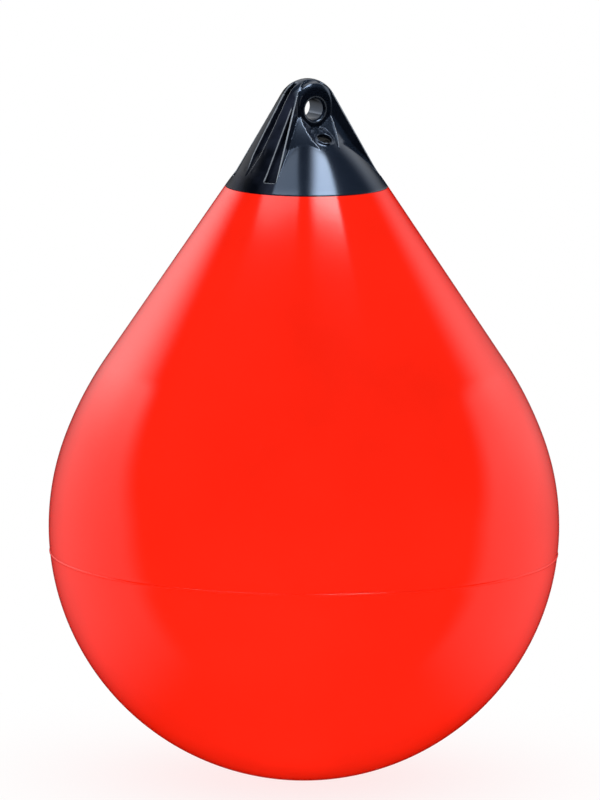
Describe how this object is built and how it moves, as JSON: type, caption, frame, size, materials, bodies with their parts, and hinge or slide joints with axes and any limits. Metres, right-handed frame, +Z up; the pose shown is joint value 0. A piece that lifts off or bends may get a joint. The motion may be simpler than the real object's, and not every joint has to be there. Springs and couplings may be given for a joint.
{
  "type": "inflatable mooring buoy",
  "caption": "Teardrop inflatable mooring buoy: a soft vinyl float with a hard moulded rope hold, a rope eye and a screw plug in its inflation valve.",
  "frame": {"origin": "on the teardrop's axis at the waterline of the empty buoy, floating with its eye up", "axes": "+Z up along the teardrop's axis, Y along the rope eye with the valve towards -Y, X across the two legs of the rope hold"},
  "size_m": [0.6849, 0.685, 0.9462],
  "materials": {
    "skin_vinyl": "soft gloss vinyl",
    "hold_vinyl": "gloss moulded",
    "valve_plastic": "matt",
    "plug_plastic": "matt",
    "washer_rubber": "matt"
  },
  "bodies": {
    "buoy": {"inflated_skin": "skin_vinyl", "rope_hold": "hold_vinyl", "valve_seat": "valve_plastic"},
    "plug": {"valve_plug": "plug_plastic", "valve_washer": "washer_rubber"}
  },
  "joints": [
    {"name": "valve_plug_out", "type": "slide", "parent": "buoy", "child": "plug", "axis": [0, -0.5, 0.866], "range_m": [0, 0.045]}
  ]
}
